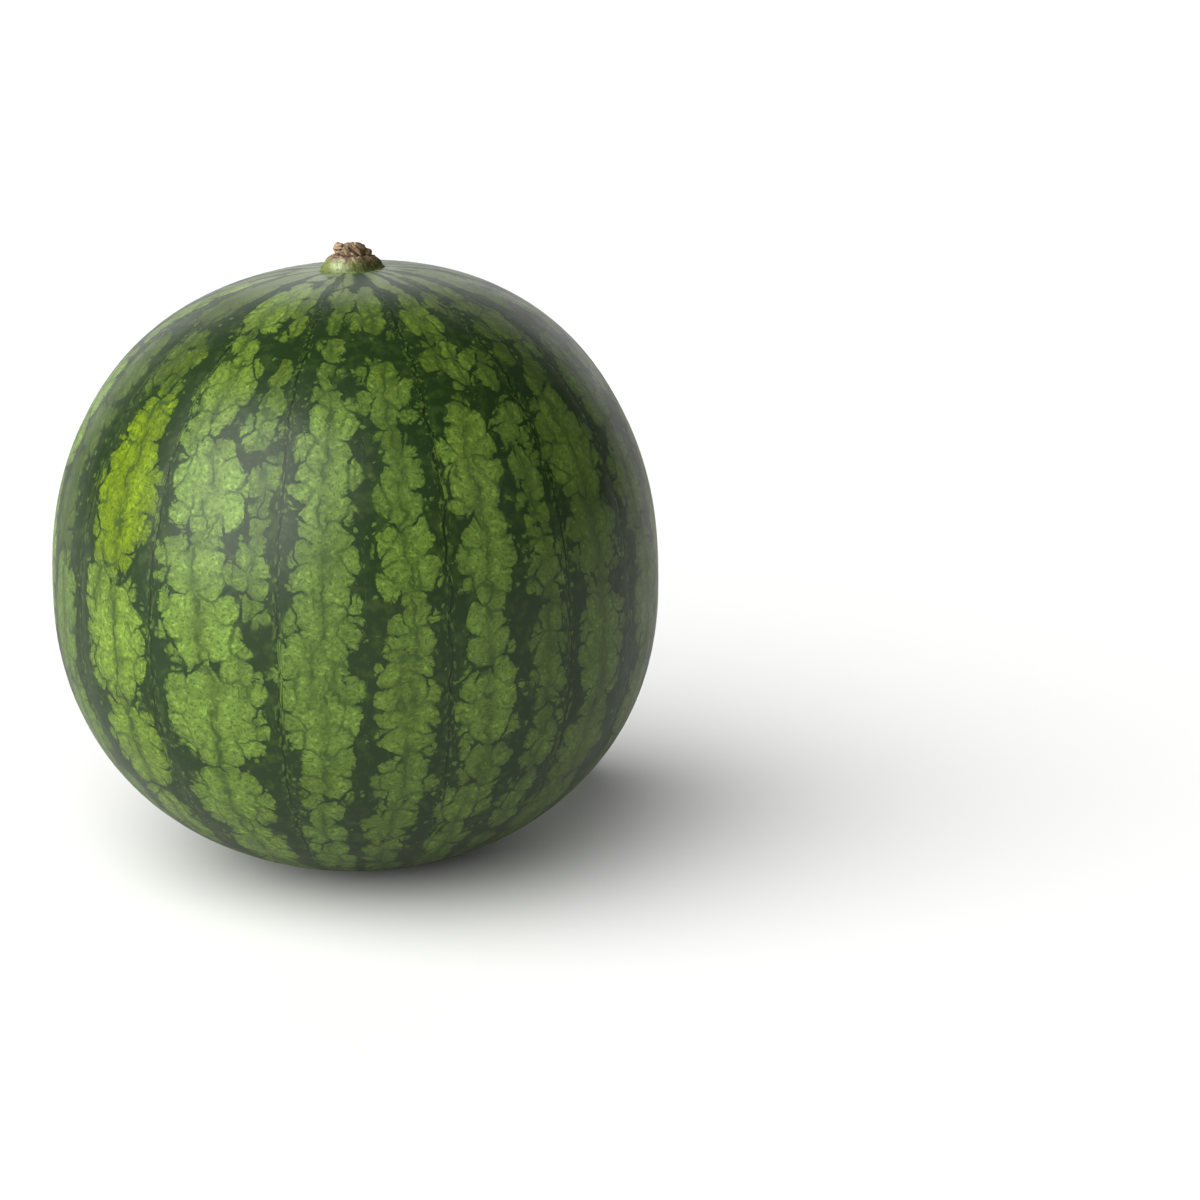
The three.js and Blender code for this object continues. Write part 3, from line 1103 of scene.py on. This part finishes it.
def stem_mesh(look):
    """The stub as one skin: foot, lumps and strands merged by a fine remesh, then smoothed."""
    chance = random.Random(STEM_SEED)
    build = bmesh.new()
    add_tube(build, foot_rings())
    for x, y, z, radius in LUMPS + ((*KNOB_MIDDLE, CORE_SHARE * KNOB_HALF.x),):
        ball = bmesh.ops.create_icosphere(build, subdivisions=3, radius=radius)
        bmesh.ops.translate(build, verts=ball["verts"], vec=(x, y, z))
    core = bmesh.ops.create_icosphere(build, subdivisions=4, radius=1.0)
    bmesh.ops.scale(build, verts=core["verts"], vec=CORE_SHARE * CORE_HALF)
    bmesh.ops.translate(build, verts=core["verts"], vec=CORE_MIDDLE)
    for index in range(look.strands):
        turn = 2 * math.pi * (index + chance.uniform(-0.3, 0.3)) / look.strands
        add_tube(build, strand_rings(strand_line(turn, chance)))
    for index in range(KNOB_STRANDS):
        turn = 2 * math.pi * (index + chance.uniform(-0.3, 0.3)) / KNOB_STRANDS
        thick = STRAND_RADIUS * chance.uniform(0.7, 1.4)
        line = winding_line(KNOB_MIDDLE, KNOB_HALF, KNOB_TILT, turn, KNOB_TWIST, thick, chance)
        add_tube(build, strand_rings(line))
    rough = bpy.data.meshes.new("stem_parts")
    build.to_mesh(rough)
    build.free()
    rough.transform(Matrix.Scale(MM, 4))
    stand_in = add_object("stem_parts", rough)
    remesh = stand_in.modifiers.new("merge", "REMESH")
    remesh.mode = "VOXEL"
    remesh.voxel_size = STEM_VOXEL * MM
    smooth = stand_in.modifiers.new("soften", "SMOOTH")
    smooth.factor = 0.5
    smooth.iterations = 1
    shaped = stand_in.evaluated_get(bpy.context.evaluated_depsgraph_get())
    mesh = bpy.data.meshes.new_from_object(shaped)
    bpy.data.objects.remove(stand_in)
    mesh.name = "stem_stub"
    return mesh


def roughen_stem(mesh):
    """Moves the stub's points along their normals in fine fibres and soft creases, stores how deep in
    a cleft each point lies, and lifts the whole to its seat."""
    count = len(mesh.vertices)
    points = np.empty(count * 3)
    normals = np.empty(count * 3)
    mesh.vertices.foreach_get("co", points)
    mesh.vertex_normals.foreach_get("vector", normals)
    points = points.reshape(-1, 3)
    normals = normals.reshape(-1, 3)
    ends = np.empty(len(mesh.edges) * 2, int)
    mesh.edges.foreach_get("vertices", ends)
    ends = ends.reshape(-1, 2)
    spread = points.copy()
    for _ in range(CLEFT_SPREAD):
        total = np.zeros((count, 3))
        share = np.zeros(count)
        for one, other in (ends.T, ends.T[::-1]):
            np.add.at(total, one, spread[other])
            np.add.at(share, one, 1)
        spread = total / share[:, None]
    cleft = np.einsum("ij,ij->i", spread - points, normals) / MM
    fibre = (FIBRE_WIDTH, FIBRE_WIDTH, FIBRE_LENGTH)
    fibres = np.array([noise.noise(Vector(p / fibre) / MM) for p in points])
    creases = np.array([noise.noise(Vector(p) / (CREASE_SIZE * MM)) for p in points])
    points += normals * (MM * (FIBRE_DEPTH * fibres + CREASE_DEPTH * creases))[:, None]
    points[:, 2] += STEM_LOW.z
    mesh.vertices.foreach_set("co", points.ravel())
    field = mesh.attributes.new("cleft", "FLOAT", "POINT")
    field.data.foreach_set("value", cleft.astype(np.float32))
    mesh.shade_smooth()


def stem_material(look):
    """Dried melon vine over a living green foot, torn and left to wither.
    To the eye it is matt and tan, with painted shade that turns the clefts near black and a painted
    highlight on the raised crests; the foot has a painted highlight that pales its -X side, olive
    patches with painted shade towards +X, and painted shade along its bottom."""
    material = empty_material("withered_vine")
    tree = material.node_tree
    solid = in_millimetres(tree)
    place = node(tree, "SeparateXYZ", {0: solid})
    grain = node(tree, "VectorMath", (solid, (1.0, 1.0, 0.45)), operation="MULTIPLY")
    patches = node(tree, "TexNoise", {"Vector": grain, "Scale": 1 / 2.2, "Detail": 3.0})
    fibres = node(tree, "TexNoise", {"Vector": grain, "Scale": 1 / 0.45, "Detail": 2.0})

    # Tan strands, browner in patches, and browner on the +X side: partly the right lump's own darker
    # brown and partly painted shade on the side away from the key light.
    right_brown_and_shade = node(tree, "MapRange", (place.outputs["X"], 1.5, 4.5, 0.0, 0.35))
    browner = node(tree, "Math", (patches, right_brown_and_shade), operation="ADD")
    brown = node(tree, "MapRange", (browner, 0.44, 0.62, 0.0, 0.9))
    dry = node(
        tree, "Mix", {0: brown, 6: look.dry_colour, 7: linear("5E4B2E")}, data_type="RGBA"
    ).outputs[2]

    # The green foot: olive patches, with painted shade that gives more of them towards +X; a painted
    # highlight that pales its facets on the -X side, towards the key light; and painted shade along its
    # bottom.
    # Painted shade: the olive patches grow more towards +X, away from the key light.
    side = node(tree, "MapRange", (place.outputs["X"], -6.0, 6.0, -0.1, 0.18))
    shift = node(tree, "Math", (patches, side), operation="ADD")
    olive_and_shade = node(tree, "MapRange", (shift, 0.46, 0.62, 0.0, 0.9))
    # Painted highlight: the facets on the -X side are paled where the key light falls on them.
    off_facet = node(tree, "Math", (place.outputs["X"], -FACET_MIDDLE), operation="ADD")
    off_facet = node(tree, "Math", {0: off_facet}, operation="ABSOLUTE")
    facet = node(tree, "MapRange", (off_facet, 1.4, 3.4, 1.0, 0.0), **SMOOTH)
    highlight_patches = node(tree, "MapRange", (patches, 0.38, 0.6, 1.0, 0.45))
    facet_highlight = node(tree, "Math", (facet, highlight_patches), operation="MULTIPLY")
    foot = STEM_LOW.z / MM
    # Painted shade along the foot's bottom, where it meets the skin.
    shaded = node(tree, "MapRange", (place.outputs["Z"], foot - 0.9, foot + 1.0, 0.85, 0.0))

    # It dries out upwards, higher in some patches than in others.
    level = node(tree, "Math", (patches, 3.5, place.outputs["Z"]), operation="MULTIPLY_ADD")
    dryness = node(tree, "MapRange", (level, foot + 4.0, foot + 5.2), **SMOOTH)
    base = look.foot_colour
    for share, over in (
        (olive_and_shade, linear("50522A")), (facet_highlight, linear("CBD6A6")), (shaded, linear("4E6A2A")), (dryness, dry),
    ):
        base = node(tree, "Mix", {0: share, 6: base, 7: over}, data_type="RGBA").outputs[2]
    tone = node(tree, "MapRange", (fibres, 0.3, 0.7, 0.7, 1.35))

    # Painted shade turns the clefts near black, and a painted highlight makes the crests of the strands
    # paler.
    cleft = node(tree, "Attribute", attribute_name="cleft").outputs["Fac"]
    palest_highlight = node(tree, "MapRange", (dryness, 0.0, 1.0, 1.05, 1.85))
    crest_highlight = node(tree, "MapRange", (cleft, -0.1, -0.01, palest_highlight, 1.0))
    for strength in (tone, crest_highlight):
        base = node(
            tree, "Mix", {0: 1.0, 6: base, 7: strength}, data_type="RGBA", blend_type="MULTIPLY"
        ).outputs[2]
    # Painted shade: the deeper a point lies in a cleft, the nearer black it is.
    shade = node(tree, "MapRange", (cleft, 0.005, 0.07, 0.0, 0.9))
    colour = node(tree, "Mix", {0: shade, 6: base, 7: linear("2A1F12")}, data_type="RGBA").outputs[2]
    bump = node(tree, "Bump", {"Strength": 1.0, "Distance": 0.12 * MM, "Height": fibres})
    vine = node(
        tree, "BsdfPrincipled", {"Base Color": colour, "Roughness": 0.75, "IOR": 1.45, "Normal": bump}
    )
    node(tree, "OutputMaterial", {"Surface": vine})
    return material


class WATERMELON_OT_stem(bpy.types.Operator):
    """Add the stub of the stem: a ribbed green foot with a dry, twisted knot on it"""

    bl_idname = "watermelon.stem"
    bl_label = "Stem"

    def execute(self, context):
        look = context.scene.watermelon_stem
        mesh = stem_mesh(look)
        roughen_stem(mesh)
        mesh.materials.append(stem_material(look))
        stub = add_object("stem_stub", mesh)
        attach(stub, "root")
        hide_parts("stem")
        return {"FINISHED"}


# ======== Panel and start ========


class WATERMELON_PT_panel(bpy.types.Panel):
    """Lists the pieces of the watermelon and their settings"""

    bl_idname = "WATERMELON_PT_panel"
    bl_label = "Watermelon"
    bl_space_type = "VIEW_3D"
    bl_region_type = "UI"
    bl_category = "Watermelon"

    def draw(self, context):
        for piece in SETTINGS:
            settings = getattr(context.scene, "watermelon_" + piece)
            column = self.layout.column(align=True)
            column.operator("watermelon." + piece)
            for name in settings.bl_rna.properties.keys():
                if name not in ("rna_type", "name"):
                    column.prop(settings, name)


SETTINGS = {"stage": StageSettings, "fruit": FruitSettings, "stem": StemSettings}
CLASSES = (
    *SETTINGS.values(),
    WATERMELON_OT_stage,
    WATERMELON_OT_fruit,
    WATERMELON_OT_stem,
    WATERMELON_PT_panel,
)


def register():
    """Registers the classes and puts the settings on the scene."""
    for added in CLASSES:
        bpy.utils.register_class(added)
    for piece, settings in SETTINGS.items():
        setattr(bpy.types.Scene, "watermelon_" + piece, PointerProperty(type=settings))


def unregister():
    """Takes away what register added."""
    for piece in SETTINGS:
        delattr(bpy.types.Scene, "watermelon_" + piece)
    for added in reversed(CLASSES):
        bpy.utils.unregister_class(added)


def main():
    """Makes the stage and the pieces, in order."""
    register()
    bpy.ops.watermelon.stage()
    bpy.ops.watermelon.fruit()
    bpy.ops.watermelon.stem()


if __name__ == "__main__":
    main()
